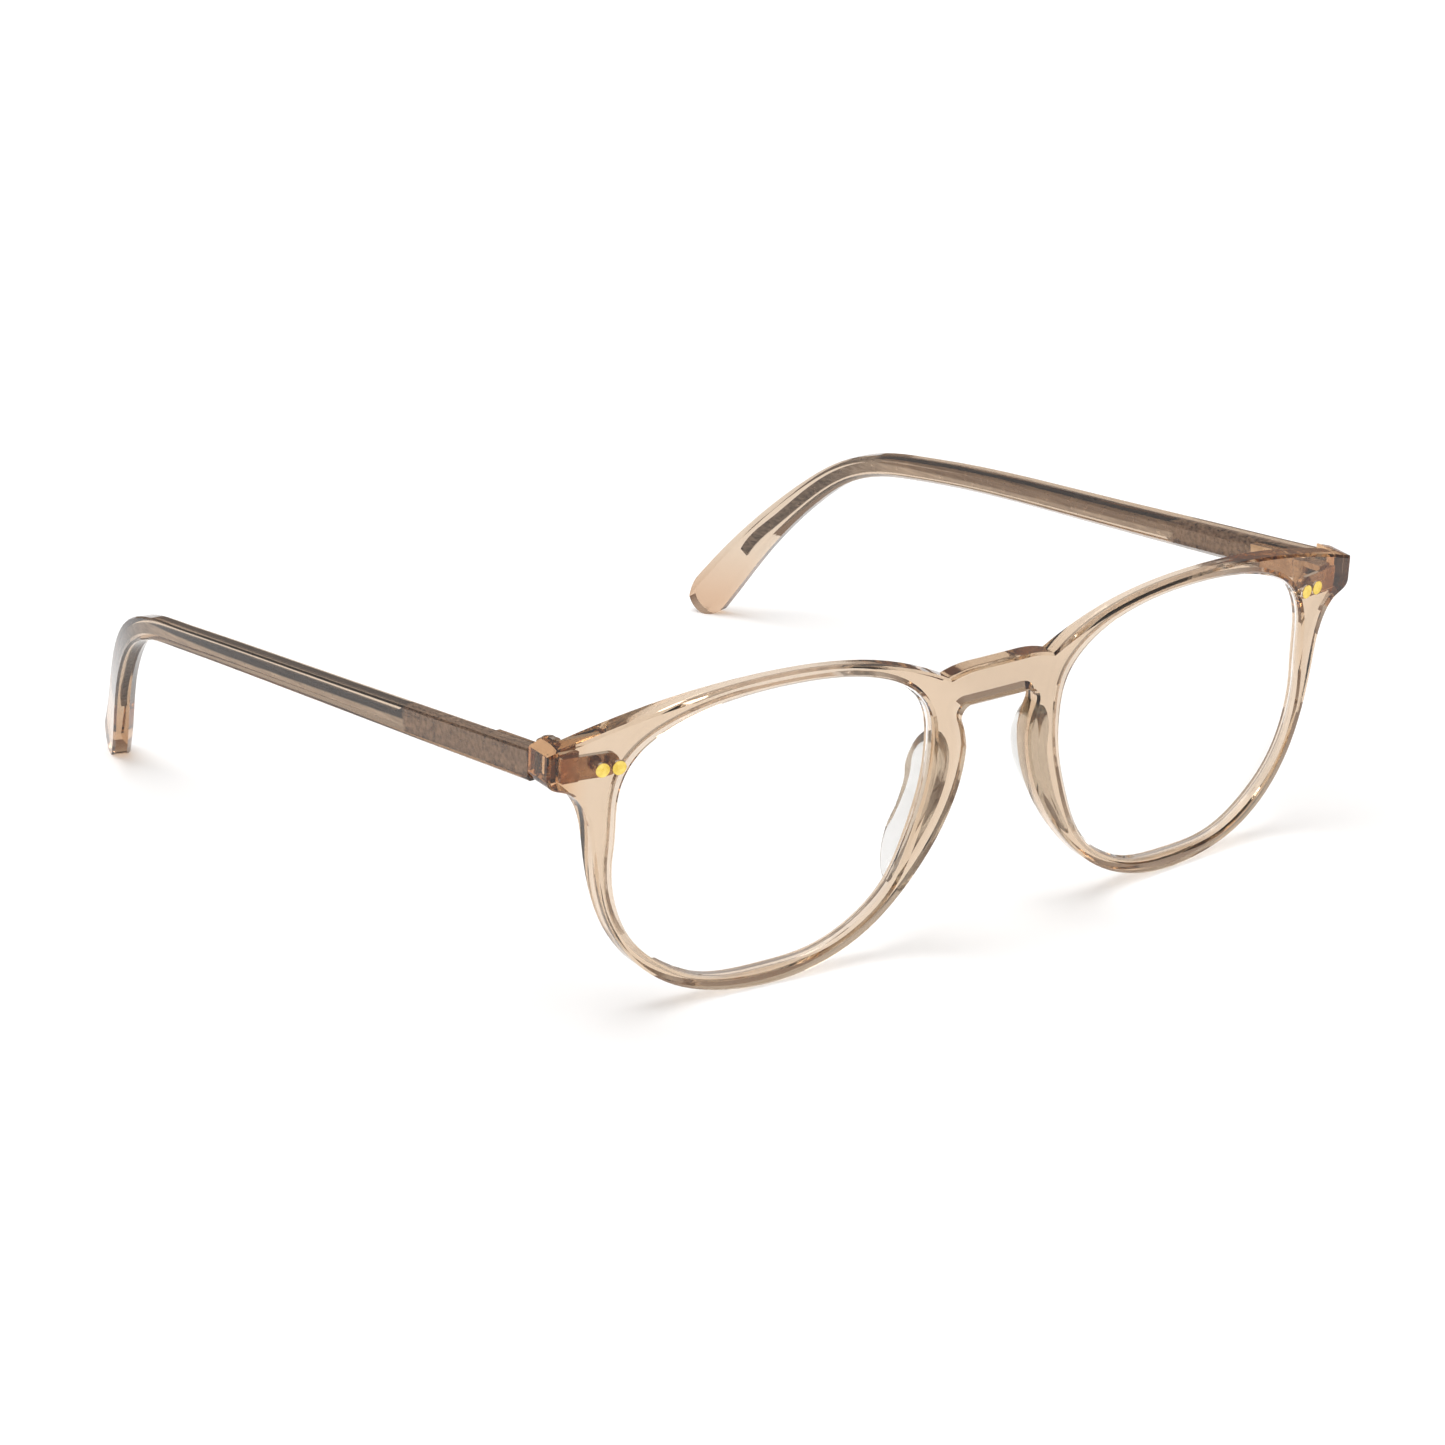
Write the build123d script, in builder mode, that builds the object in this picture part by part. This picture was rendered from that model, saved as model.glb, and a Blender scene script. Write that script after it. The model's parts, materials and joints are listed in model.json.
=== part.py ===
from build123d import *
import os
from math import asin, cos, radians, sin, sqrt

# Blue light glasses: a clear-acetate keyhole-bridge frame with riveted five-barrel hinges.
# Frame of the model: millimetres, +Z up, the front faces -Y, the wearer's left is +X.
# The glasses stand open on the bottom of the rims and on the two temple tips, at Z = 0.

# Eye size
EYE_WIDTH = 49.4
EYE_HEIGHT = 42.1
BRIDGE_WIDTH = 22.0
RIM_BOTTOM = 2.2
RIM_SIDE = 5.2

# Front
FRONT_THICKNESS = 3.6
WRAP_RADIUS = 353.0
FRONT_TILT = 6.8
ENDPIECE_REACH = 9.9
ENDPIECE_HEIGHT = 5.7
ENDPIECE_THICKNESS = 4.7
ENDPIECE_WALL = 2.7
BRIDGE_TOP = 40.8
BRIDGE_LOW = 35.25
KEYHOLE_HALF = 6.6
EDGE_FRONT = 0.35
EDGE_REAR = 0.8

# Lenses
LENS_THICKNESS = 2.0
BEVEL_DEPTH = 0.6
BEVEL_CHAMFER = 0.9
LENS_CLEARANCE = 0.05

# Nose pads
PAD_DEPTH = 4.2

# Hinges
LEAF_LENGTH = 8.45
LEAF_OUTWARD = 4.9
LEAF_HEIGHT = 3.3
LEAF_THICKNESS = 1.2
LEAF_PROUD = 0.1
TANG_PROUD = 0.1
BARREL_RADIUS = 1.6
BARREL_HEIGHT = 4.4
BARREL_GAP = 0.05
NECK_WIDTH = 2.2
SCREW_RADIUS = 0.7
SCREW_HEAD_RADIUS = 1.0
SCREW_HEAD_HEIGHT = 0.45
SCREW_RUNNING_CLEARANCE = 0.05
NOTCH_CLEARANCE = 0.25
SEAM_CLEARANCE = 0.05
TANG_LENGTH = 8.5

# Rivets
RIVET_HEAD_RADIUS = 1.0
RIVET_HEAD_HEIGHT = 0.5
RIVET_PIN_RADIUS = 0.55
RIVET_PITCH = 2.4
RIVET_PROUD = 0.05
FIT_CLEARANCE = 0.04

# Temples
TEMPLE_REACH = 135.7
TEMPLE_THICKNESS = 3.9
TEMPLE_HEIGHT = 4.55
TIP_RADIUS = 3.5
TIP_INSET = 12.1
BLADE_LENGTH = 31.0
BLADE_HEIGHT = 3.5
BLADE_THICKNESS = 0.9
WIRE_HEIGHT = 2.0
WIRE_THICKNESS = 1.2

# The middle of the glasses, front to back, lies this far behind the foot of the front.
MID_DEPTH = 71.12

# Derived sizes
HALF_EYE = EYE_WIDTH / 2
HALF_HIGH = EYE_HEIGHT / 2
LENS_U = BRIDGE_WIDTH / 2 + HALF_EYE
LENS_V = RIM_BOTTOM + HALF_HIGH
RIM_U = HALF_EYE + RIM_SIDE
RIM_V = LENS_V
HALF_WIDTH = LENS_U + HALF_EYE + ENDPIECE_REACH
ENDPIECE_TOP = LENS_V + 0.7 * RIM_V
ENDPIECE_BOTTOM = ENDPIECE_TOP - ENDPIECE_HEIGHT
HINGE_V = ENDPIECE_TOP - 0.5 * ENDPIECE_HEIGHT
TILT = radians(FRONT_TILT)


def front_depth(u, inset=0.0):
    """Depth of the curved front, or of a surface a set distance behind it, at a width u."""
    return WRAP_RADIUS - sqrt((WRAP_RADIUS - inset) ** 2 - u**2)


# The front leans forward at the top. Its foot stands on the ground where the rim is lowest.
FOOT = -front_depth(LENS_U) * sin(TILT)
LEAN_UP = (0, -sin(TILT), cos(TILT))
FRONT = Plane((0, -MID_DEPTH, FOOT), x_dir=(1, 0, 0), z_dir=(0, -cos(TILT), -sin(TILT)))
PLAN = Plane((0, -MID_DEPTH, FOOT), x_dir=(1, 0, 0), z_dir=LEAN_UP)
SEAM_DEPTH = front_depth(HALF_WIDTH) + ENDPIECE_THICKNESS

# Eye opening, as fractions of its half width and half height.
EYE_SHAPE = [
    (1.0, 0.05),
    (0.985, -0.28),
    (0.862, -0.608),
    (0.68, -0.808),
    (0.377, -0.979),
    (0.01, -1.0),
    (-0.312, -0.96),
    (-0.555, -0.836),
    (-0.757, -0.629),
    (-0.899, -0.285),
    (-0.988, 0.105),
    (-1.0, 0.342),
    (-0.96, 0.603),
    (-0.798, 0.808),
    (-0.555, 0.931),
    (-0.069, 0.998),
    (0.377, 0.955),
    (0.68, 0.85),
    (0.9, 0.665),
    (0.98, 0.46),
]

# Outside of the rim from under the endpiece round to the nose, as fractions of its half sizes.
RIM_SHAPE = [
    (0.99, 0.368),
    (0.927, 0.047),
    (0.885, -0.228),
    (0.805, -0.494),
    (0.649, -0.749),
    (0.453, -0.907),
    (0.215, -0.986),
    (-0.023, -1.0),
    (-0.261, -0.95),
    (-0.533, -0.786),
    (-0.736, -0.545),
    (-0.904, -0.239),
    (-0.993, 0.052),
]


def eye_points(spread):
    """Eye opening, or the same shape grown all round by a set distance."""
    return [
        (LENS_U + a * (HALF_EYE + spread), LENS_V + b * (HALF_HIGH + spread))
        for a, b in EYE_SHAPE
    ]


rim_points = [(LENS_U + a * RIM_U, LENS_V + b * RIM_V) for a, b in RIM_SHAPE]
brow_points = [
    (9.0, BRIDGE_TOP - 0.8),
    (LENS_U - 0.94 * HALF_EYE, LENS_V + 0.79 * RIM_V),
    (LENS_U - 0.64 * HALF_EYE, LENS_V + 0.895 * RIM_V),
    (LENS_U - 0.03 * HALF_EYE, LENS_V + 0.963 * RIM_V),
    (LENS_U + 0.66 * HALF_EYE, LENS_V + 0.903 * RIM_V),
    (HALF_WIDTH, ENDPIECE_TOP),
]
corner_points = [
    (HALF_WIDTH, ENDPIECE_BOTTOM + 2.1),
    (HALF_WIDTH - 0.65, ENDPIECE_BOTTOM + 0.95),
    (HALF_WIDTH - 3.0, ENDPIECE_BOTTOM),
]
waist = (LENS_U - 1.013 * RIM_U, BRIDGE_LOW - 6.3)
keyhole_side = (KEYHOLE_HALF - 0.1, BRIDGE_LOW - 2.2)
keyhole_end = (KEYHOLE_HALF - 1.7, BRIDGE_LOW)

# Half of the front's outline, closed along the middle of the bridge.
with BuildSketch(Plane.XY, mode=Mode.PRIVATE) as outline:
    with BuildLine():
        Line((0, BRIDGE_LOW), (0, BRIDGE_TOP))
        Line((0, BRIDGE_TOP), (4.5, BRIDGE_TOP))
        ThreePointArc((4.5, BRIDGE_TOP), (7.0, BRIDGE_TOP - 0.25), brow_points[0])
        Spline(brow_points)
        Line(brow_points[-1], corner_points[0])
        Spline(corner_points + rim_points + [waist])
        ThreePointArc(waist, (waist[0] + 0.4, waist[1] + 2.1), keyhole_side)
        ThreePointArc(keyhole_side, (KEYHOLE_HALF - 0.4, BRIDGE_LOW - 0.6), keyhole_end)
        Line(keyhole_end, (0, BRIDGE_LOW))
    make_face()

with BuildSketch(Plane.XY, mode=Mode.PRIVATE) as eye:
    with BuildLine():
        Spline(eye_points(0), periodic=True)
    make_face()

# Half of the front: outline and eye opening bent to the wrap of the face, with a raised endpiece.
with BuildPart() as half_front:
    with BuildSketch(FRONT.offset(1)):
        add(outline.sketch)
        add(eye.sketch, mode=Mode.SUBTRACT)
    extrude(amount=-2 - SEAM_DEPTH)
    with BuildSketch(PLAN):
        with Locations((0, WRAP_RADIUS)):
            Circle(WRAP_RADIUS)
            Circle(WRAP_RADIUS - FRONT_THICKNESS, mode=Mode.SUBTRACT)
        with Locations((0, SEAM_DEPTH / 2)):
            Rectangle(2 * HALF_WIDTH + 2, SEAM_DEPTH, mode=Mode.INTERSECT)
        with Locations((HALF_WIDTH, SEAM_DEPTH)):
            Rectangle(2 * ENDPIECE_WALL, ENDPIECE_THICKNESS, align=(Align.CENTER, Align.MAX))
    extrude(amount=2 * ENDPIECE_TOP, both=True, mode=Mode.INTERSECT)
    wrapped = half_front.faces().filter_by(GeomType.CYLINDER).sort_by(SortBy.AREA)[-2:]
    front_side, rear_side = wrapped.sort_by(Axis.Y)
    chamfer(front_side.edges().filter_by(lambda e: e.center().X > 0.1), EDGE_FRONT)
    rear_side = half_front.faces().filter_by(GeomType.CYLINDER).sort_by(SortBy.AREA)[-2:].sort_by(Axis.Y)[-1]
    chamfer(
        rear_side.outer_wire().edges().filter_by(lambda e: 0.1 < e.center().X < HALF_WIDTH - 5),
        EDGE_REAR,
    )


def lens_blank(spread, thickness, edge):
    """A wrapped, V-edged blank that reaches a set distance beyond the eye opening."""
    middle = FRONT_THICKNESS / 2
    with BuildPart() as blank:
        with BuildSketch(FRONT.offset(1)):
            with BuildLine():
                Spline(eye_points(spread), periodic=True)
            make_face()
        extrude(amount=-2 - SEAM_DEPTH)
        with BuildSketch(PLAN):
            with Locations((0, WRAP_RADIUS)):
                Circle(WRAP_RADIUS - middle + thickness / 2)
                Circle(WRAP_RADIUS - middle - thickness / 2, mode=Mode.SUBTRACT)
            with Locations((0, SEAM_DEPTH / 2)):
                Rectangle(2 * HALF_WIDTH + 2, SEAM_DEPTH + 2, mode=Mode.INTERSECT)
        extrude(amount=2 * ENDPIECE_TOP, both=True, mode=Mode.INTERSECT)
        broad = blank.faces().filter_by(GeomType.CYLINDER).sort_by(SortBy.AREA)[-2:]
        chamfer(broad.edges(), edge)
    return blank.part


# The hinge leaf lies in the back of the endpiece, square to the wrap at its own middle.
LEAF_U = LENS_U + HALF_EYE + 2.0
LEAF_TURN = asin(LEAF_U / WRAP_RADIUS)
leaf_origin = PLAN.from_local_coords((LEAF_U, front_depth(LEAF_U, FRONT_THICKNESS), HINGE_V))
LEAF = Plane(
    leaf_origin,
    x_dir=(cos(LEAF_TURN), sin(LEAF_TURN) * cos(TILT), sin(LEAF_TURN) * sin(TILT)),
    z_dir=(sin(LEAF_TURN), -cos(LEAF_TURN) * cos(TILT), -cos(LEAF_TURN) * sin(TILT)),
)
HINGE_Z = leaf_origin.Z
SEAM_Y = (SEAM_DEPTH - HINGE_V * sin(TILT)) / cos(TILT) - MID_DEPTH
TEMPLE_INNER = HALF_WIDTH - TEMPLE_THICKNESS
PIVOT_X = TEMPLE_INNER - 0.9
PIVOT_Y = SEAM_Y + BARREL_RADIUS + 0.45

KNUCKLE = (BARREL_HEIGHT - 4 * BARREL_GAP) / 5
knuckle_low = [HINGE_Z - BARREL_HEIGHT / 2 + i * (KNUCKLE + BARREL_GAP) for i in range(5)]


def leaf_outline(grow=0.0):
    """Flat of the front hinge: square at the temple end, full round at the nose end."""
    with BuildSketch(Plane.XY, mode=Mode.PRIVATE) as flat:
        with Locations((LEAF_OUTWARD + grow, 0)):
            Rectangle(
                LEAF_LENGTH - LEAF_HEIGHT / 2 + grow,
                LEAF_HEIGHT + 2 * grow,
                align=(Align.MAX, Align.CENTER),
            )
        with Locations((LEAF_OUTWARD - LEAF_LENGTH + LEAF_HEIGHT / 2, 0)):
            Circle(LEAF_HEIGHT / 2 + grow)
    return flat.sketch


rivet_spots = [(-0.4, 0), (-0.4 - RIVET_PITCH, 0)]

# Front hinge: three knuckles, the necks that carry them, and the leaf.
with BuildPart() as front_hinge_left:
    for low in (knuckle_low[0], knuckle_low[2], knuckle_low[4]):
        with BuildSketch(Plane.XY.offset(low)):
            with Locations((PIVOT_X, PIVOT_Y)):
                Circle(BARREL_RADIUS)
                Rectangle(NECK_WIDTH, 2 * ENDPIECE_THICKNESS, align=(Align.CENTER, Align.MAX))
                Circle(SCREW_RADIUS + SCREW_RUNNING_CLEARANCE, mode=Mode.SUBTRACT)
        extrude(amount=KNUCKLE)
    with BuildSketch(LEAF.offset(-LEAF_PROUD)):
        Rectangle(4 * LEAF_LENGTH, 4 * LEAF_LENGTH)
    extrude(amount=3 * ENDPIECE_THICKNESS, mode=Mode.SUBTRACT)
    with BuildSketch(LEAF.offset(-LEAF_PROUD)):
        add(leaf_outline())
        with Locations(*rivet_spots):
            Circle(RIVET_PIN_RADIUS, mode=Mode.SUBTRACT)
    extrude(amount=LEAF_THICKNESS)

# Hinge screw: slotted head on the top knuckle, plain shank down to the lowest one.
with BuildPart() as hinge_screw_left:
    with BuildSketch(Plane.XY.offset(knuckle_low[0])):
        with Locations((PIVOT_X, PIVOT_Y)):
            Circle(SCREW_RADIUS)
    extrude(amount=BARREL_HEIGHT)
    with BuildSketch(Plane.XY.offset(knuckle_low[0] + BARREL_HEIGHT)):
        with Locations((PIVOT_X, PIVOT_Y)):
            Circle(SCREW_HEAD_RADIUS)
    extrude(amount=SCREW_HEAD_HEIGHT)
    chamfer(hinge_screw_left.faces().sort_by(Axis.Z)[-1].edges(), SCREW_HEAD_HEIGHT / 4)
    with BuildSketch(Plane.XY.offset(knuckle_low[0] + BARREL_HEIGHT + SCREW_HEAD_HEIGHT)):
        with Locations((PIVOT_X, PIVOT_Y)):
            Rectangle(3 * SCREW_HEAD_RADIUS, SCREW_HEAD_RADIUS / 4)
    extrude(amount=-SCREW_HEAD_HEIGHT / 2, mode=Mode.SUBTRACT)


def rivet(spot):
    """Round-headed rivet, flush in the front, its pin running back through the leaf."""
    with BuildPart() as body:
        with BuildSketch(LEAF.offset(-LEAF_PROUD)):
            with Locations(spot):
                Circle(RIVET_PIN_RADIUS)
        extrude(amount=LEAF_PROUD + FRONT_THICKNESS - RIVET_HEAD_HEIGHT)
        with BuildSketch(LEAF.offset(FRONT_THICKNESS - RIVET_HEAD_HEIGHT)):
            with Locations(spot):
                Circle(RIVET_HEAD_RADIUS)
        extrude(amount=RIVET_HEAD_HEIGHT + RIVET_PROUD)
    return body.part


with BuildPart() as rivet_outer_left:
    add(rivet(rivet_spots[0]))

with BuildPart() as rivet_inner_left:
    add(rivet(rivet_spots[1]))

# Lens, and the half front with its lens groove, leaf pocket and rivet holes.
with BuildPart() as lens_left:
    add(lens_blank(BEVEL_DEPTH, LENS_THICKNESS, BEVEL_CHAMFER))

groove = lens_blank(
    BEVEL_DEPTH + LENS_CLEARANCE,
    LENS_THICKNESS + 2 * LENS_CLEARANCE,
    BEVEL_CHAMFER + LENS_CLEARANCE,
)
with BuildPart() as cut_front:
    add(half_front.part)
    add(groove.split(Plane.YZ.offset(LENS_U), keep=Keep.TOP), mode=Mode.SUBTRACT)
    add(groove.split(Plane.YZ.offset(LENS_U), keep=Keep.BOTTOM), mode=Mode.SUBTRACT)
    with BuildSketch(LEAF.offset(-1)):
        add(leaf_outline(FIT_CLEARANCE))
    extrude(amount=1 + LEAF_THICKNESS - LEAF_PROUD + FIT_CLEARANCE, mode=Mode.SUBTRACT)
    with BuildSketch(LEAF):
        with Locations(*rivet_spots):
            Circle(RIVET_PIN_RADIUS + FIT_CLEARANCE)
    extrude(amount=FRONT_THICKNESS, mode=Mode.SUBTRACT)
    with BuildSketch(LEAF.offset(FRONT_THICKNESS - RIVET_HEAD_HEIGHT - FIT_CLEARANCE)):
        with Locations(*rivet_spots):
            Circle(RIVET_HEAD_RADIUS + FIT_CLEARANCE)
    extrude(amount=FRONT_THICKNESS, mode=Mode.SUBTRACT)

with BuildPart() as front_frame:
    add(cut_front.part)
    mirror(about=Plane.YZ)

# Nose pad: a rounded clear pad glued to the back of the rim beside the nose.
pad_points = [
    Vector(LENS_U - 27.1, BRIDGE_LOW - 4.0),
    Vector(LENS_U - 28.7, BRIDGE_LOW - 7.5),
    Vector(LENS_U - 28.3, BRIDGE_LOW - 12.0),
    Vector(LENS_U - 26.6, BRIDGE_LOW - 16.4),
    Vector(LENS_U - 24.0, BRIDGE_LOW - 20.6),
    Vector(LENS_U - 21.1, BRIDGE_LOW - 24.3),
    Vector(LENS_U - 19.9, BRIDGE_LOW - 25.2),
    Vector(LENS_U - 20.7, BRIDGE_LOW - 23.0),
    Vector(LENS_U - 22.8, BRIDGE_LOW - 19.0),
    Vector(LENS_U - 24.2, BRIDGE_LOW - 15.0),
    Vector(LENS_U - 25.2, BRIDGE_LOW - 10.0),
    Vector(LENS_U - 25.4, BRIDGE_LOW - 6.0),
]
pad_middle = Vector(LENS_U - 24.9, BRIDGE_LOW - 13.0)
with BuildPart() as nose_pad_left:
    for lift, scale in ((0, 1.0), (0.4, 0.95), (0.75, 0.8), (1.0, 0.5)):
        with BuildSketch(FRONT.offset(-FRONT_THICKNESS - lift * PAD_DEPTH)):
            with BuildLine():
                Spline([pad_middle + (point - pad_middle) * scale for point in pad_points], periodic=True)
            make_face()
    loft()
    with BuildSketch(PLAN):
        with Locations((0, WRAP_RADIUS)):
            Circle(WRAP_RADIUS)
            Circle(WRAP_RADIUS - FRONT_THICKNESS, mode=Mode.SUBTRACT)
        with Locations((0, SEAM_DEPTH / 2)):
            Rectangle(2 * HALF_WIDTH, SEAM_DEPTH, mode=Mode.INTERSECT)
    extrude(amount=2 * ENDPIECE_TOP, both=True, mode=Mode.SUBTRACT)

# Temple path: straight and level in plan, then down and in behind the ear.
# Each stop is (reach, drop, inset, height, thickness): the first three are fractions of the
# whole reach, drop and inset, the last two are fractions of the sizes at the hinge.
TEMPLE_STOPS = [
    (-0.02, -0.006, 0.0, 1.0, 1.0),
    (0.18, 0.04, 0.0, 0.94, 1.0),
    (0.39, 0.086, 0.0, 0.84, 0.98),
    (0.62, 0.141, 0.02, 0.755, 0.95),
    (0.71, 0.175, 0.08, 0.74, 0.93),
    (0.775, 0.218, 0.16, 0.755, 0.9),
    (0.825, 0.302, 0.27, 0.825, 0.87),
    (0.87, 0.432, 0.42, 0.94, 0.84),
    (0.91, 0.578, 0.585, 1.09, 0.82),
    (0.96, 0.8, 0.82, 1.35, 0.82),
    (1.0, 1.0, 1.0, 2 * TIP_RADIUS / TEMPLE_HEIGHT, 0.82),
    (1.03, 1.15, 1.12, 2 * TIP_RADIUS / TEMPLE_HEIGHT, 0.82),
]
TEMPLE_DROP = HINGE_Z + 0.2 - TIP_RADIUS
PATH_X = HALF_WIDTH - TEMPLE_THICKNESS / 2

temple_spots = [
    (PATH_X - inset * TIP_INSET, SEAM_Y + reach * TEMPLE_REACH, TIP_RADIUS + (1 - drop) * TEMPLE_DROP)
    for reach, drop, inset, *sizes in TEMPLE_STOPS
]
with BuildLine(mode=Mode.PRIVATE) as temple_path:
    Spline(temple_spots)


def temple_plane(share):
    """Cross-section plane at a share of the path: local X points outwards, local Y up."""
    along = temple_path.line % share
    outwards = Vector(along.Y, -along.X, 0).normalized()
    return Plane(temple_path.line @ share, x_dir=outwards, z_dir=along * -1)


def temple_size(share):
    """Height and thickness of the temple at a share of the path."""
    reach = ((temple_path.line @ share).Y - SEAM_Y) / TEMPLE_REACH
    reach = min(max(reach, TEMPLE_STOPS[0][0]), TEMPLE_STOPS[-1][0])
    for here, there in zip(TEMPLE_STOPS, TEMPLE_STOPS[1:]):
        if here[0] <= reach <= there[0]:
            mix = (reach - here[0]) / (there[0] - here[0])
            high = here[3] + mix * (there[3] - here[3])
            thick = here[4] + mix * (there[4] - here[4])
            return high * TEMPLE_HEIGHT, thick * TEMPLE_THICKNESS


def temple_section(high, thick):
    """Temple cross-section: upright outer face, flat top, both inner edges bevelled."""
    return [
        (0.39 * thick, -0.5 * high),
        (0.5 * thick, -0.42 * high),
        (0.5 * thick, 0.44 * high),
        (0.42 * thick, 0.5 * high),
        (-0.1 * thick, 0.5 * high),
        (-0.5 * thick, 0.29 * high),
        (-0.5 * thick, -0.3 * high),
        (-0.2 * thick, -0.5 * high),
    ]


SECTIONS = 18
butt = temple_plane(1 / SECTIONS)
temple_flat = Plane(butt.origin, x_dir=butt.z_dir * -1, z_dir=(1, 0, 0))
HINGE_ALONG = butt.origin.Y - SEAM_Y
tip_along = Vector(*temple_spots[-1]) - Vector(*temple_spots[-2])
tip_side = Vector(tip_along.Y, -tip_along.X, 0).normalized()

# Temple core: a flat blade behind the hinge that narrows to a wire down to the tip.
with BuildPart() as temple_core_left:
    with BuildSketch(temple_flat):
        with BuildLine():
            Polyline(
                (1.0 - HINGE_ALONG, BLADE_HEIGHT / 2),
                (1.0 - HINGE_ALONG, -BLADE_HEIGHT / 2),
                (BLADE_LENGTH - HINGE_ALONG, -BLADE_HEIGHT / 2),
                (BLADE_LENGTH - HINGE_ALONG + 1.5, -WIRE_HEIGHT / 2),
                (BLADE_LENGTH - HINGE_ALONG + 1.5, WIRE_HEIGHT / 2),
                (BLADE_LENGTH - HINGE_ALONG, BLADE_HEIGHT / 2),
                close=True,
            )
        make_face()
    extrude(amount=BLADE_THICKNESS / 2, both=True)
    for index in range(3, SECTIONS - 1):
        slim = 1 - 0.015 * index
        with BuildSketch(temple_plane(index / SECTIONS)):
            Rectangle(WIRE_THICKNESS * slim, WIRE_HEIGHT * slim)
    loft()

# Temple hinge: a tang let into the inner face of the temple, with two knuckles.
with BuildPart() as temple_hinge_left:
    with BuildSketch(temple_flat.offset(-TEMPLE_THICKNESS / 2 - TANG_PROUD)):
        with Locations((PIVOT_Y + BARREL_RADIUS + 0.2 - butt.origin.Y, 0)):
            Rectangle(TANG_LENGTH, LEAF_HEIGHT, align=(Align.MIN, Align.CENTER))
    extrude(amount=LEAF_THICKNESS)
    for low in (knuckle_low[1], knuckle_low[3]):
        with BuildSketch(Plane.XY.offset(low)):
            with Locations((PIVOT_X, PIVOT_Y)):
                Circle(BARREL_RADIUS)
                Rectangle(
                    BARREL_RADIUS,
                    BARREL_RADIUS + 1.0,
                    align=(Align.MIN, Align.MIN),
                )
                Circle(SCREW_RADIUS + SCREW_RUNNING_CLEARANCE, mode=Mode.SUBTRACT)
        extrude(amount=KNUCKLE)

# Temple: bevelled bar, cut square at the seam, notched for the hinge, full round at the tip.
with BuildPart() as temple_left:
    for index in range(SECTIONS + 1):
        with BuildSketch(temple_plane(index / SECTIONS)):
            with BuildLine():
                Polyline(*temple_section(*temple_size(index / SECTIONS)), close=True)
            make_face()
    loft()
    with BuildSketch(FRONT.offset(-SEAM_DEPTH - SEAM_CLEARANCE)):
        with Locations((HALF_WIDTH, HINGE_V)):
            Rectangle(3 * TEMPLE_THICKNESS, 3 * TEMPLE_HEIGHT)
    extrude(amount=2 * TEMPLE_HEIGHT, mode=Mode.SUBTRACT)
    with BuildSketch(Plane.XY.offset(HINGE_Z)):
        with Locations((PIVOT_X, PIVOT_Y)):
            Circle(BARREL_RADIUS + NOTCH_CLEARANCE)
            Rectangle(
                NECK_WIDTH / 2 + NOTCH_CLEARANCE,
                2 * BARREL_RADIUS,
                align=(Align.MIN, Align.MAX),
            )
    extrude(amount=TEMPLE_HEIGHT, both=True, mode=Mode.SUBTRACT)
    with BuildSketch(Plane(temple_spots[-2], x_dir=tip_side.cross(tip_along), z_dir=tip_side)):
        with Locations((0, 0)):
            Rectangle(6 * TIP_RADIUS, 3 * TIP_RADIUS, align=(Align.CENTER, Align.MAX))
            Circle(TIP_RADIUS, mode=Mode.SUBTRACT)
    extrude(amount=3 * TEMPLE_THICKNESS, both=True, mode=Mode.SUBTRACT)
    add(temple_core_left.part, mode=Mode.SUBTRACT)
    add(temple_hinge_left.part, mode=Mode.SUBTRACT)

left_parts = {
    "lens": lens_left.part,
    "nose_pad": nose_pad_left.part,
    "front_hinge": front_hinge_left.part,
    "rivet_outer": rivet_outer_left.part,
    "rivet_inner": rivet_inner_left.part,
    "hinge_screw": hinge_screw_left.part,
    "temple": temple_left.part,
    "temple_core": temple_core_left.part,
    "temple_hinge": temple_hinge_left.part,
}

os.makedirs("parts", exist_ok=True)
front_frame.part.label = "front_frame"
export_step(front_frame.part, "parts/front_frame.step")
for name, left in left_parts.items():
    right = left.mirror(Plane.YZ)
    left.label = f"{name}_left"
    right.label = f"{name}_right"
    export_step(left, f"parts/{name}_left.step")
    export_step(right, f"parts/{name}_right.step")
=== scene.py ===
import json
import math

import bmesh
import bpy
from mathutils import Matrix, Vector
from mathutils.bvhtree import BVHTree
from mathutils.kdtree import KDTree


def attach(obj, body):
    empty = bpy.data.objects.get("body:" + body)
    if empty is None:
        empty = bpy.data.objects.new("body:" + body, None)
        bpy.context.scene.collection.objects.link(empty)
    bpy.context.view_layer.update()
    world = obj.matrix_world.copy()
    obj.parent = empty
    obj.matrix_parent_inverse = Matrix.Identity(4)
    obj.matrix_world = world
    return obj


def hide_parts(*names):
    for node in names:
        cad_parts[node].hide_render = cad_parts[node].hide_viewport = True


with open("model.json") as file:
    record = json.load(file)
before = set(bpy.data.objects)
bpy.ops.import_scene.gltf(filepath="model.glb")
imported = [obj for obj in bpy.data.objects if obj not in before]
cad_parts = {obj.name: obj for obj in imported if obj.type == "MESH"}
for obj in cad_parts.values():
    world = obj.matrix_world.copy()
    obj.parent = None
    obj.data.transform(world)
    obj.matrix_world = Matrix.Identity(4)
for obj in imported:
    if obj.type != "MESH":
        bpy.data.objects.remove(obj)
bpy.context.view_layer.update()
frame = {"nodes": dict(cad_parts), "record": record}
scene = bpy.context.scene
MM = 0.001
SIDES = ("left", "right")

# Places along Y in the temple's core: the blade's end, and where the temple starts and ends its bend.
BLADE_END = -32.5 * MM
BEND_START = 34.0 * MM
BEND_END = 50.0 * MM

# Two stretches of the core's straight run, one near the hinge and one near the bend.
NEAR_HINGE = (-50 * MM, -33 * MM)
NEAR_BEND = (15 * MM, 32 * MM)

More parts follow.
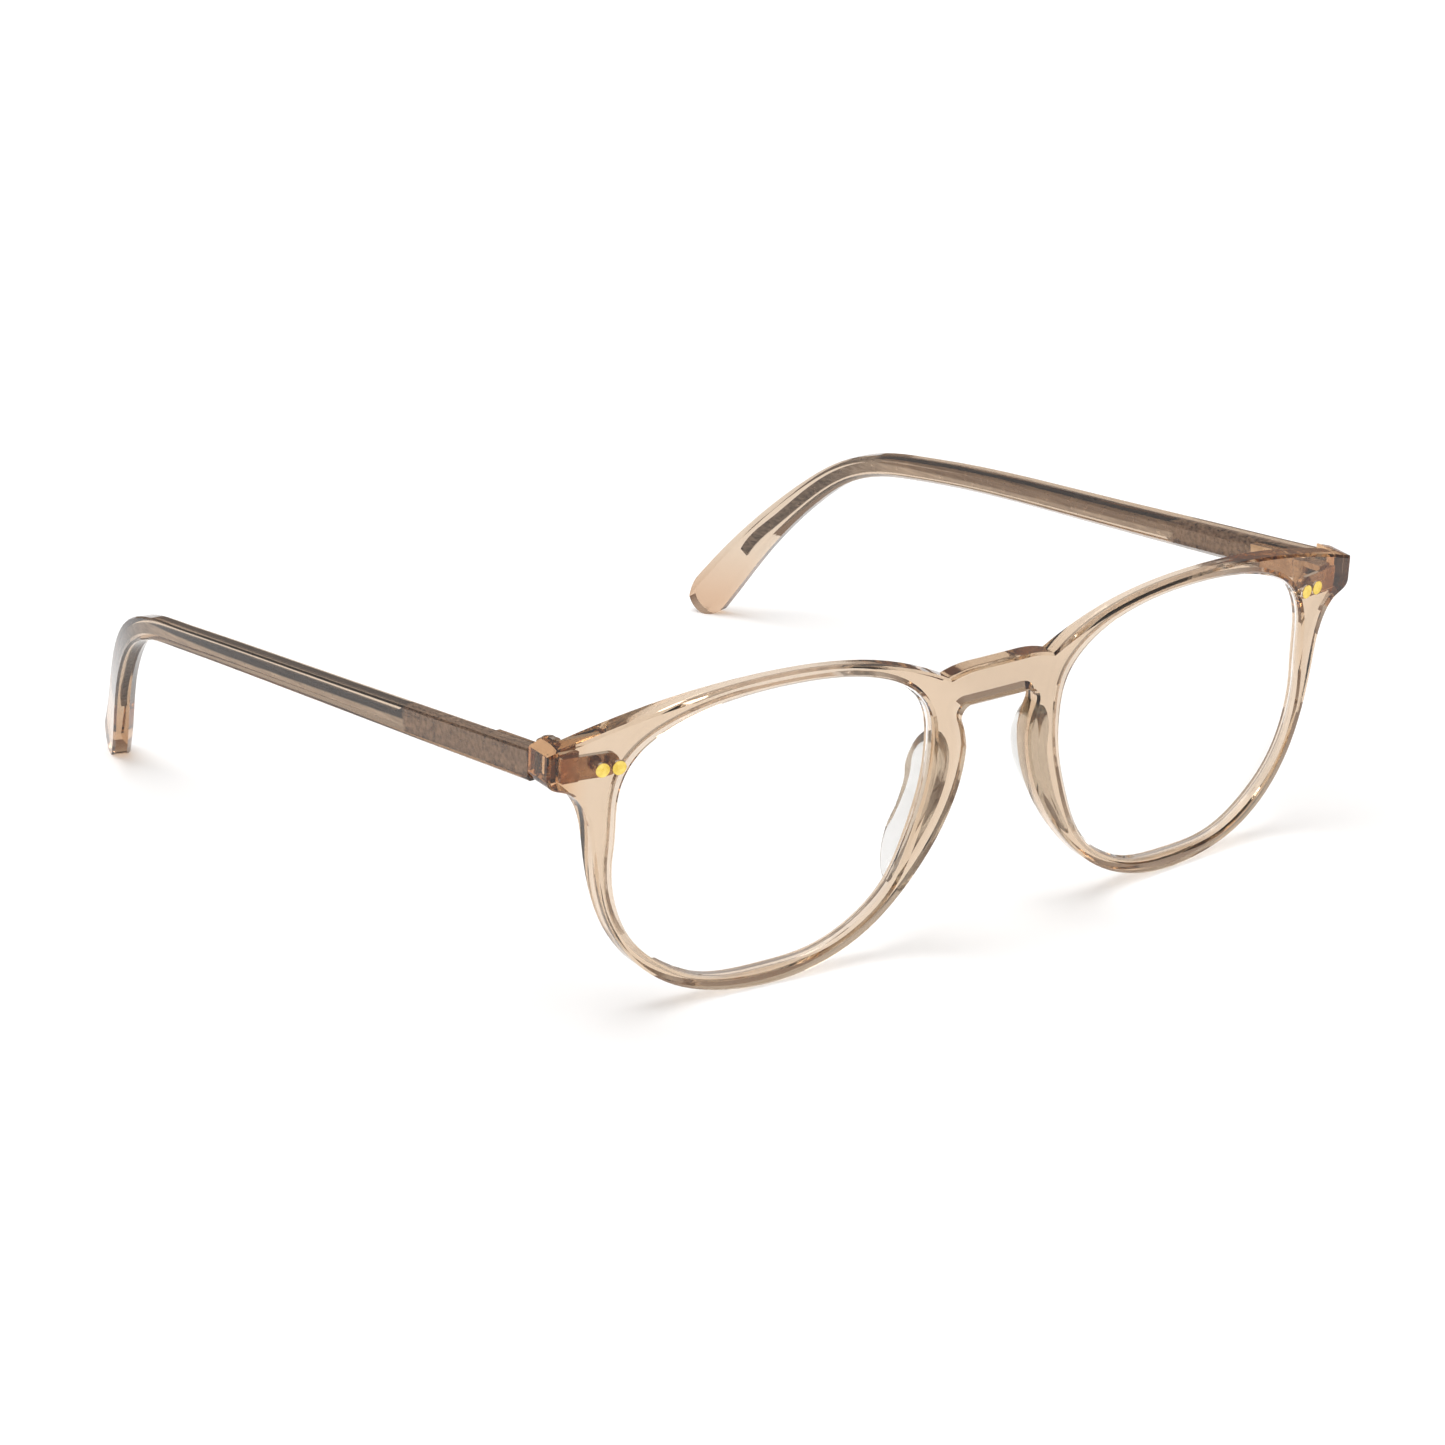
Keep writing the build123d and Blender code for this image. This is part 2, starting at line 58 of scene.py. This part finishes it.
# How close two things lie when they are one vertex, one face, or a pocket wall and its metal.
SAME_VERTEX = 0.002 * MM
SAME_FACE = 0.01 * MM
CORE_FIT = 0.02 * MM
LEAF_FIT = 0.06 * MM
MIRROR = Vector((-1, 1, 1))

# ---------------------------------------------------------------- camera and light
TARGET = Vector((0.0, -0.03112, 0.02026))
AZIMUTH = math.radians(-36.508)
ELEVATION = math.radians(18.717)
ROLL = math.radians(-0.997)
DISTANCE = 0.75124
BACK = Vector((
    math.sin(AZIMUTH) * math.cos(ELEVATION),
    -math.cos(AZIMUTH) * math.cos(ELEVATION),
    math.sin(ELEVATION),
))


def facing(place, aim):
    """The matrix of something at place that looks at aim."""
    turn = (Vector(aim) - Vector(place)).to_track_quat("-Z", "Y")
    return Matrix.Translation(place) @ turn.to_matrix().to_4x4()


def add_camera():
    data = bpy.data.cameras.new("camera")
    data.sensor_width = 36.0
    data.lens = 129.79
    data.shift_x = -0.0610
    data.shift_y = -0.0023
    data.clip_start = 0.05
    data.clip_end = 30.0
    camera = bpy.data.objects.new("camera", data)
    scene.collection.objects.link(camera)
    camera.matrix_world = facing(TARGET + BACK * DISTANCE, TARGET) @ Matrix.Rotation(ROLL, 4, "Z")
    scene.camera = camera


def add_sun(name, place, spread, strength):
    """A soft sun at place, aimed at the origin, with its disc spread degrees wide."""
    data = bpy.data.lights.new(name, "SUN")
    data.angle = math.radians(spread)
    data.energy = strength
    lamp = bpy.data.objects.new(name, data)
    scene.collection.objects.link(lamp)
    lamp.matrix_world = facing(place, (0, 0, 0))


add_camera()
scene.view_settings.view_transform = "Standard"
BOUNCES = 24
scene.cycles.max_bounces = BOUNCES
scene.cycles.transmission_bounces = BOUNCES
scene.cycles.glossy_bounces = BOUNCES
scene.cycles.transparent_max_bounces = 32


# ---------------------------------------------------------------- materials
def new_material(name):
    """A material with its node tree, its Principled shader and a maker of linked nodes."""
    material = bpy.data.materials.new(name)
    material.use_nodes = True
    nodes, links = material.node_tree.nodes, material.node_tree.links

    def node(kind, inputs=None, **settings):
        made = nodes.new(kind)
        for key, value in settings.items():
            setattr(made, key, value)
        for key, value in (inputs or {}).items():
            if isinstance(value, bpy.types.NodeSocket):
                links.new(value, made.inputs[key])
            else:
                made.inputs[key].default_value = value
        return made

    return material, nodes["Principled BSDF"], nodes["Material Output"], node, links


def blend(node, share, first, second):
    """The colour that goes from first to second as share goes from 0 to 1."""
    return node("ShaderNodeMix", {0: share, 6: first, 7: second}, data_type="RGBA").outputs[2]


def noise(node, place, scale, detail):
    """A cloud noise at place."""
    return node("ShaderNodeTexNoise", {"Vector": place, "Scale": scale, "Detail": detail}).outputs["Fac"]


def ease(node, value, start, full):
    """0 where value is start, 1 where it is full, and a straight line between."""
    return node("ShaderNodeMapRange", {"Value": value, "From Min": start, "From Max": full}).outputs[0]


def axis_of(node, vector, axis):
    """One axis of a vector."""
    return node("ShaderNodeSeparateXYZ", {"Vector": vector}).outputs[axis]


def roughen(node, links, shader, height, strength, distance):
    """Give the shader a fine surface from a height."""
    bump = node("ShaderNodeBump", {"Height": height, "Strength": strength, "Distance": distance})
    links.new(bump.outputs["Normal"], shader.inputs["Normal"])


def ramp(node, source, low, high, start=0.3, end=0.7):
    """A grey or colour ramp from low to high over part of the source's range."""
    made = node("ShaderNodeValToRGB", {"Fac": source})
    for stop, position, value in zip(made.color_ramp.elements, (start, end), (low, high)):
        stop.position = position
        stop.color = (*value, 1) if isinstance(value, tuple) else (value, value, value, 1)
    return made.outputs["Color"]


def crystal(name, tint, taken_per_metre, shadow, deeper=None, ior=1.48, haze=0.03, mottle=0.03):
    """Clear plastic that takes colour out of light by its depth, with a faintly uneven polish.
    deeper gives an axis, the places where a second tint starts and is full in mm, and that tint."""
    material, shader, output, node, links = new_material(name)
    place = node("ShaderNodeTexCoord").outputs["Object"]
    cloud = noise(node, place, 260.0, 3.0)
    fine = noise(node, place, 2340.0, 2.0)
    colour = ramp(node, cloud, tuple(part * (1 - mottle) for part in tint), tint)
    if deeper:
        axis, start, full, second = deeper
        along = node("ShaderNodeMath", {0: axis_of(node, place, axis)}, operation="ABSOLUTE").outputs[0]
        colour = blend(node, ease(node, along, start * MM, full * MM), colour, (*second, 1))
    links.new(colour, shader.inputs["Base Color"])
    links.new(ramp(node, cloud, 0.0, haze), shader.inputs["Roughness"])
    roughen(node, links, shader, fine, 0.02, 0.1 * MM)
    shader.inputs["IOR"].default_value = ior
    shader.inputs["Transmission Weight"].default_value = 1.0
    through = node("ShaderNodeBsdfTransparent", {"Color": (*shadow, 1)})
    mix = node("ShaderNodeMixShader", {
        0: node("ShaderNodeLightPath").outputs["Is Shadow Ray"],
        1: shader.outputs["BSDF"],
        2: through.outputs["BSDF"],
    })
    links.new(mix.outputs["Shader"], output.inputs["Surface"])
    if taken_per_metre:
        density = 1.05 * max(taken_per_metre)
        depth = node("ShaderNodeVolumeAbsorption", {
            "Color": (*[1 - taken / density for taken in taken_per_metre], 1),
            "Density": density,
        })
        links.new(depth.outputs["Volume"], output.inputs["Volume"])
    return material


def metal(name, dark, light, rough, grain):
    """Metal with a grain that varies its colour, its roughness and its surface."""
    material, shader, output, node, links = new_material(name)
    grains = noise(node, node("ShaderNodeTexCoord").outputs["Object"], grain, 4.0)
    links.new(ramp(node, grains, dark, light), shader.inputs["Base Color"])
    links.new(ramp(node, grains, rough * 0.75, rough * 1.3), shader.inputs["Roughness"])
    roughen(node, links, shader, grains, 0.5, 0.02 * MM)
    shader.inputs["Metallic"].default_value = 1.0
    return material


def core_metal(side):
    """The reinforcing core. Near the hinge it is an etched bronze blade. Behind that it is wire with
    painted light: a painted highlight makes its lower half light tan, and painted shade makes its upper
    half blackish on its outer face and brownish on its inner face. Past the bend it is grey."""
    material, shader, output, node, links = new_material(f"core_etched_painted_light_{side}")
    place = node("ShaderNodeTexCoord").outputs["Object"]
    along, up = axis_of(node, place, "Y"), axis_of(node, place, "Z")
    across = axis_of(node, node("ShaderNodeTexCoord").outputs["Normal"], "X")
    etch = noise(node, place, 1300.0, 5.0)
    drawn = node("ShaderNodeMapping", {"Vector": place, "Scale": (1.0, 0.06, 1.0)}).outputs["Vector"]
    streaks = noise(node, drawn, 2500.0, 3.0)
    blade = ramp(node, etch, (0.20, 0.135, 0.095), (0.50, 0.37, 0.27), 0.35, 0.65)
    # Painted highlight: the wire is light tan below its middle line. Painted shade: above that it is
    # blackish on the outer face and brownish on the inner face.
    painted_highlight_pale = ramp(node, streaks, (0.52, 0.44, 0.37), (0.78, 0.69, 0.60))
    painted_shade_black = ramp(node, streaks, (0.016, 0.011, 0.008), (0.08, 0.06, 0.046))
    painted_shade_brown = ramp(node, streaks, (0.26, 0.185, 0.13), (0.42, 0.32, 0.24))
    grey = ramp(node, streaks, (0.12, 0.10, 0.088), (0.30, 0.255, 0.22))
    middle = node("ShaderNodeMath", {0: along, 1: -CORE_SLOPE, 2: CORE_HEIGHT}, operation="MULTIPLY_ADD")
    rise = node("ShaderNodeMath", {0: up, 1: middle.outputs[0]}, operation="SUBTRACT").outputs[0]
    inner = -1.0 if side == "left" else 1.0
    # Painted shade picked by which way the face points: blackish on the outer face, brownish on the
    # inner face.
    painted_shade_top = blend(node, ease(node, across, 0.9 * inner, 0.3 * inner), painted_shade_brown, painted_shade_black)
    # Painted highlight below the core's middle line, painted shade above it.
    wire = blend(node, ease(node, rise, -0.15 * MM, 0.1 * MM), painted_highlight_pale, painted_shade_top)
    wire = blend(node, ease(node, along, BEND_START, BEND_END), wire, grey)
    colour = blend(node, ease(node, along, BLADE_END - 0.4 * MM, BLADE_END + 0.4 * MM), blade, wire)
    links.new(colour, shader.inputs["Base Color"])
    links.new(ramp(node, etch, 0.25, 0.45), shader.inputs["Roughness"])
    roughen(node, links, shader, etch, 0.6, 0.05 * MM)
    shader.inputs["Metallic"].default_value = 0.85
    return material


PEACH = (0.85, 0.75, 0.655)
PEACH_TEMPLE = (0.84, 0.75, 0.66)
PEACH_SHADOW = (0.52, 0.56, 0.61)
BROWN_ENDPIECE = ("X", 64.5, 67.5, (0.80, 0.57, 0.39))
BROWN_TIP = ("Z", 12.0, 3.0, (0.76, 0.58, 0.45))
LENS = (0.99, 0.99, 0.99)
PAD = (0.88, 0.88, 0.875)
materials = {
    "front_acetate": crystal("crystal_front", PEACH, (52, 84, 128), PEACH_SHADOW, BROWN_ENDPIECE),
    "temple_acetate": crystal("crystal_temple", PEACH_TEMPLE, (52, 82, 120), PEACH_SHADOW, BROWN_TIP),
    "lens": crystal("lens_clear", LENS, None, (0.985,) * 3, ior=1.5, haze=0.0, mottle=0.01),
    "pad": crystal("pad_clear", PAD, (40, 40, 45), (0.8,) * 3, ior=1.46, haze=0.15, mottle=0.05),
    "hinge_metal": metal("hinge_bronze", (0.34, 0.20, 0.11), (0.62, 0.42, 0.26), 0.25, 700.0),
    "rivet_gold": metal("rivet_gold", (0.72, 0.50, 0.08), (0.95, 0.76, 0.22), 0.28, 900.0),
    "screw_steel": metal("screw_steel", (0.35, 0.28, 0.22), (0.62, 0.52, 0.43), 0.3, 900.0),
}


# ---------------------------------------------------------------- clear pieces
def carry_normals(source, made, side=Vector((1, 1, 1))):
    """Give made the surface normals of source, corner by corner; new faces keep their own.
    side is MIRROR when made is the mirror image of source."""
    tree = KDTree(len(source.polygons))
    for face in source.polygons:
        tree.insert(face.center * side, face.index)
    tree.balance()
    normals = [None] * len(made.loops)
    for face in made.polygons:
        _, index, gap = tree.find(face.center)
        corners = {corner: source.vertices[source.loops[corner].vertex_index].co * side
                   for corner in source.polygons[index].loop_indices}
        for loop in face.loop_indices:
            at = made.vertices[made.loops[loop].vertex_index].co
            best = min(corners, key=lambda corner: (corners[corner] - at).length)
            known = gap < SAME_FACE
            normals[loop] = source.corner_normals[best].vector * side if known else face.normal.copy()
    made.normals_split_custom_set(normals)


def clear_piece(name, node, made):
    """Put made in the scene in place of a CAD node, moving with that node's body."""
    made.materials.clear()
    made.materials.append(frame["nodes"][node].data.materials[0])
    piece = bpy.data.objects.new(name, made)
    scene.collection.objects.link(piece)
    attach(piece, body_of[node])
    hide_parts(node)
    return piece


def solid_copy(name, node, buried, gap):
    """A copy of a CAD node without the pockets that the buried nodes fill. Metal shot into acetate
    has acetate all round it, so no pocket wall is seen."""
    source = frame["nodes"][node].data
    mesh = bmesh.new()
    mesh.from_mesh(source)
    bmesh.ops.remove_doubles(mesh, verts=mesh.verts, dist=SAME_VERTEX)
    trees = []
    for other in buried:
        shape = bmesh.new()
        shape.from_mesh(frame["nodes"][other].data)
        trees.append(BVHTree.FromBMesh(shape))
        shape.free()
    wall = [
        face for face in mesh.faces
        if all(any(tree.find_nearest(spot, gap)[0] for tree in trees)
               for spot in [face.calc_center_median(), *(corner.co for corner in face.verts)])
    ]
    bmesh.ops.delete(mesh, geom=wall, context="FACES")
    bmesh.ops.holes_fill(mesh, edges=[edge for edge in mesh.edges if edge.is_boundary])
    bmesh.ops.triangulate(mesh, faces=[face for face in mesh.faces if len(face.verts) > 4])
    made = bpy.data.meshes.new(name)
    mesh.to_mesh(made)
    mesh.free()
    made.shade_smooth()
    carry_normals(source, made)
    return clear_piece(name, node, made)


def mirror_copy(name, node, twin, source):
    """The mirror image of a clear piece already made from the CAD mesh source."""
    made = twin.data.copy()
    made.transform(Matrix.Scale(-1, 4, (1, 0, 0)))
    made.flip_normals()
    carry_normals(source, made, MIRROR)
    return clear_piece(name, node, made)


def core_run(node):
    """How fast the core falls towards the back along its straight run, and its height at y = 0."""
    points = [vertex.co for vertex in frame["nodes"][node].data.vertices]
    ends = []
    for start, end in (NEAR_HINGE, NEAR_BEND):
        run = [point for point in points if start < point.y < end]
        ends.append((sum(point.y for point in run) / len(run), sum(point.z for point in run) / len(run)))
    (y_hinge, z_hinge), (y_bend, z_bend) = ends
    slope = (z_hinge - z_bend) / (y_bend - y_hinge)
    return slope, z_hinge + slope * y_hinge


CORE_SLOPE, CORE_HEIGHT = core_run("temple_core_left")
bodies = frame["record"]["behaviour"]["bodies"]
body_of = {node: body for body, nodes in bodies.items() for node in nodes}
for entry in frame["record"]["subparts"]:
    node, slot = entry["node"], entry["material_slot"]
    material = materials.get(slot) or core_metal(node.rsplit("_", 1)[1])
    frame["nodes"][node].data.materials[0] = material

leaves = [f"front_hinge_{side}" for side in SIDES]
temple_metal = ("temple_core_left", "temple_hinge_left")
front = solid_copy("front_crystal", "front_frame", leaves, LEAF_FIT)
left = solid_copy("temple_crystal_left", "temple_left", temple_metal, CORE_FIT)
right = mirror_copy("temple_crystal_right", "temple_right", left, frame["nodes"]["temple_left"].data)


# ---------------------------------------------------------------- stage
def add_world():
    """Light from all round, white overhead and warm and darker towards the ground."""
    world = bpy.data.worlds.new("studio")
    scene.world = world
    world.use_nodes = True
    nodes, links = world.node_tree.nodes, world.node_tree.links
    height = nodes.new("ShaderNodeSeparateXYZ")
    links.new(nodes.new("ShaderNodeTexCoord").outputs["Generated"], height.inputs["Vector"])
    shade = nodes.new("ShaderNodeValToRGB")
    shade.color_ramp.elements[0].position = 0.0
    shade.color_ramp.elements[0].color = (0.44, 0.33, 0.26, 1)
    shade.color_ramp.elements[1].position = 0.7
    shade.color_ramp.elements[1].color = (1.0, 1.0, 1.0, 1)
    links.new(height.outputs["Z"], shade.inputs["Fac"])
    links.new(shade.outputs["Color"], nodes["Background"].inputs["Color"])
    nodes["Background"].inputs["Strength"].default_value = 0.68


def add_floor():
    mesh = bpy.data.meshes.new("floor")
    reach = 5.0
    corners = [(-reach, -reach, 0), (reach, -reach, 0), (reach, reach, 0), (-reach, reach, 0)]
    mesh.from_pydata(corners, [], [(0, 1, 2, 3)])
    floor = bpy.data.objects.new("floor", mesh)
    scene.collection.objects.link(floor)
    material, shader = new_material("floor_white")[:2]
    shader.inputs["Base Color"].default_value = (0.92, 0.92, 0.92, 1)
    shader.inputs["Roughness"].default_value = 1.0
    shader.inputs["Specular IOR Level"].default_value = 0.0
    mesh.materials.append(material)


add_world()
add_floor()
add_sun("daylight", (-0.22, 0.05, 1.2), 40.0, 2.1)
